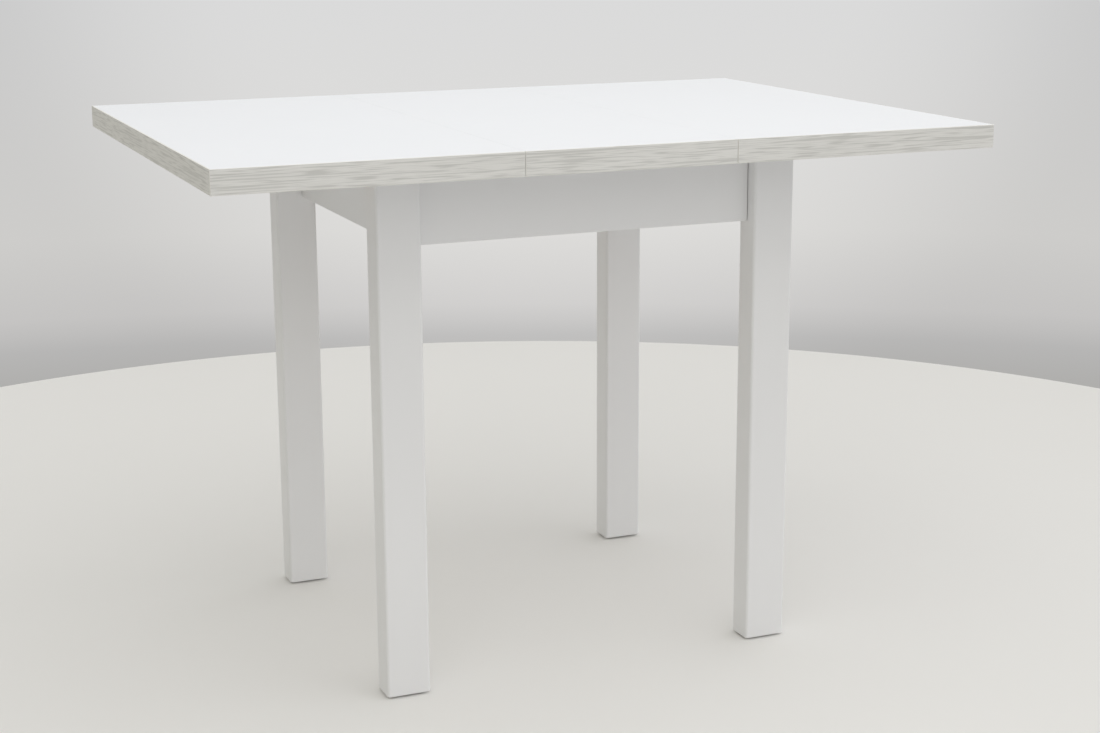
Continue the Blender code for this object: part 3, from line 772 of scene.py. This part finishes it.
def make_rail_screws():
    screw = screw_mesh("guide_rail_screw", RAIL_SCREW_LENGTH)
    for across, along in CORNERS:
        node = f"guide_rail_screw_{across}_{along}"
        low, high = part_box(node)
        head = Vector(((low.x + high.x) / 2, (low.y + high.y) / 2, high.z - SCREW_HEAD_HEIGHT))
        placed(f"{node}_finished", screw, head, (0, 0, 1), ZINC, "base", [node])


def make_plate_screws():
    """Two screws through each flange of each corner plate, into the two aprons."""
    screw = screw_mesh("corner_plate_screw", PLATE_SCREW_LENGTH)
    inner_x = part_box("apron_right")[0].x
    inner_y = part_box("apron_back")[0].y
    low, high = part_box("corner_plate_back_right")
    flange_x = low.x + PLATE_FLANGE / 2
    flange_y = low.y + PLATE_FLANGE / 2
    face = PLATE_THICKNESS + 2 * STEEL_GAP
    quarter = (high.z - low.z) / 4
    for across, along in CORNERS:
        sx, sy = SIDES[along], FRONT_BACK[across]
        for level, height in (("low", low.z + quarter), ("high", high.z - quarter)):
            name = f"corner_plate_screw_{across}_{along}_{level}"
            on_long = (sx * flange_x, sy * (inner_y - face), height)
            on_short = (sx * (inner_x - face), sy * flange_y, height)
            placed(f"{name}_long_side", screw, on_long, (0, -sy, 0), ZINC, "base")
            placed(f"{name}_short_side", screw, on_short, (-sx, 0, 0), ZINC, "base")


# ---------------------------------------------------------------- the top


def make_half(along):
    for across in FRONT_BACK:
        make_band(f"{along}_band_{across}", 1, BAND_ALONG_X)
        shaped(f"{along}_slide_{across}", BEECH_ALONG_X, WOOD_ROUNDING)
    make_band(f"{along}_band_end", 0, BAND_ALONG_Y)
    outward = SIDES[along]
    make_board(f"{along}_top_panel", [(0, outward), (1, -1), (1, 1)], [(0, -outward)])


def make_slide_screws(screw, along):
    """Screws up through the middle of each slide's body, beside its tongue."""
    sx = SIDES[along]
    low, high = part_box(f"{along}_slide_back")
    middle = (low.y + high.y - sx * TONGUE_DEPTH) / 2
    head = low.z + SLIDE_SCREW_RECESS
    for across, sy in FRONT_BACK.items():
        for number, x in enumerate(SLIDE_SCREW_PLACES, 1):
            name = f"{along}_slide_screw_{across}_{number}"
            placed(name, screw, (sx * x, sy * middle, head), (0, 0, -1), ZINC, f"{along}_half")


def make_leaf():
    for across, outward in FRONT_BACK.items():
        make_band(f"leaf_band_{across}", 1, BAND_ALONG_X)
        make_board(f"leaf_wing_{across}", [(1, outward)], [(0, -1), (0, 1), (1, -outward)])
        for along in SIDES:
            shaped(f"hinge_barrel_{across}_{along}", BRASS, FINE_ROUNDING, segments=2)
    for along in SIDES:
        shaped(f"hinge_link_{along}", ZINC, FINE_ROUNDING, segments=2)


# ---------------------------------------------------------------- the studio


def make_floor():
    """A pale round studio floor that the table stands in the middle of."""
    centre = (0, 0, -FLOOR_THICKNESS / 2)
    bm = cylinder_bmesh(FLOOR_RADIUS, FLOOR_THICKNESS, FLOOR_STEPS, centre)
    rounded(bm, hard_edges(bm), FLOOR_ROUNDING)
    floor = linked_object("studio_floor", mesh_from("studio_floor", bm))
    softened(floor)
    floor.data.materials.append(pale_floor().material)


class Sky(Tree):
    """The world's nodes, which start from the direction that the light comes from."""

    def __init__(self, tree):
        super().__init__(tree)
        self.direction = self.nodes.new("ShaderNodeTexCoord").outputs["Generated"]
        self.height = self.cosine((0, 0, 1))
        steep_part = self.math("MULTIPLY", self.height, self.height)
        self.level_part = self.math("SUBTRACT", 1.0, steep_part)

    def cosine(self, vector):
        node = self.combined("ShaderNodeVectorMath", "DOT_PRODUCT", self.direction, vector)
        return node.outputs["Value"]

    def levels(self, stops):
        """The light of each height, from stops of (height, colour)."""
        ramp = self.nodes.new("ShaderNodeValToRGB")
        raised = self.math("ADD", self.height, 1.0)
        self.links.new(self.math("MULTIPLY", raised, 0.5), ramp.inputs["Fac"])
        elements = ramp.color_ramp.elements
        while len(elements) < len(stops):
            elements.new(0.5)
        for element, (level, colour) in zip(elements, stops):
            element.position = (level + 1) / 2
            element.color = (*(channel / WORLD_STRENGTH for channel in colour), 1.0)
        return ramp.outputs["Color"]

    def share(self, side):
        """A side's share of the light: its squared cosine round the horizon.

        The shares of the four sides add up to 1.
        """
        facing = self.math("MAXIMUM", self.cosine(side), 0.0)
        level_part = self.math("MAXIMUM", self.level_part, LEAST_LEVEL_PART)
        return self.math("DIVIDE", self.math("MULTIPLY", facing, facing), level_part)

    def scaled(self, colour, factor):
        node = self.nodes.new("ShaderNodeVectorMath")
        node.operation = "SCALE"
        self.links.new(colour, node.inputs[0])
        self.links.new(factor, node.inputs["Scale"])
        return node.outputs["Vector"]

    def added(self, first, second):
        return self.combined("ShaderNodeVectorMath", "ADD", first, second).outputs["Vector"]


def make_world():
    """A backdrop round the floor, and above it soft light with its own strength from each side."""
    world = bpy.data.worlds.new("studio")
    bpy.context.scene.world = world
    world.use_nodes = True
    sky = Sky(world.node_tree)
    parts = []
    for side, levels in SIDE_LEVELS.items():
        above = [(level, even(value)) for level, value in (*levels, OVERHEAD_LEVEL)]
        parts.append(sky.scaled(sky.levels([*BACKDROP_LEVELS, *above]), sky.share(side)))
    light = functools.reduce(sky.added, parts)
    leftness = sky.between(sky.cosine((-1, 0, 0)), *LEFT_TINT_COSINES)
    background = sky.nodes["Background"]
    sky.links.new(sky.mixed(leftness, light, LEFT_TINT, "MULTIPLY"), background.inputs["Color"])
    backdrop = sky.cosine((math.sin(CAMERA_YAW), math.cos(CAMERA_YAW), 0))
    at_sides = BACKDROP_SIDES * WORLD_STRENGTH
    strength = sky.between(backdrop, *BACKDROP_COSINES, at_sides, WORLD_STRENGTH)
    sky.links.new(strength, background.inputs["Strength"])


def make_softbox():
    light = bpy.data.lights.new("overhead_softbox", "AREA")
    light.shape = "SQUARE"
    light.size = SOFTBOX_SIZE
    light.energy = SOFTBOX_POWER
    softbox = linked_object("overhead_softbox", light)
    softbox.location = SOFTBOX_PLACE
    aim = Vector(SOFTBOX_TARGET) - Vector(SOFTBOX_PLACE)
    softbox.rotation_euler = aim.to_track_quat("-Z", "Y").to_euler()


def make_camera():
    data = bpy.data.cameras.new("camera")
    data.sensor_width = SENSOR_WIDTH_MM
    data.lens = FOCAL_LENGTH_MM
    camera = linked_object("camera", data)
    ahead = Vector((math.sin(CAMERA_YAW), math.cos(CAMERA_YAW), 0))
    forward = ahead * math.cos(CAMERA_PITCH) + Vector((0, 0, math.sin(CAMERA_PITCH)))
    level = Vector((math.cos(CAMERA_YAW), -math.sin(CAMERA_YAW), 0))
    upward = level.cross(forward)
    right = math.cos(CAMERA_ROLL) * level + math.sin(CAMERA_ROLL) * upward
    turn = Matrix((right, right.cross(forward), -forward)).transposed()
    camera.matrix_world = Matrix.Translation(CAMERA_PLACE) @ turn.to_4x4()
    bpy.context.scene.camera = camera


make_camera()
make_base()
slide_screw = screw_mesh("slide_screw", SLIDE_SCREW_LENGTH)
for half in SIDES:
    make_half(half)
    make_slide_screws(slide_screw, half)
make_leaf()
make_floor()
make_world()
make_softbox()
bpy.context.scene.view_settings.view_transform = "Standard"
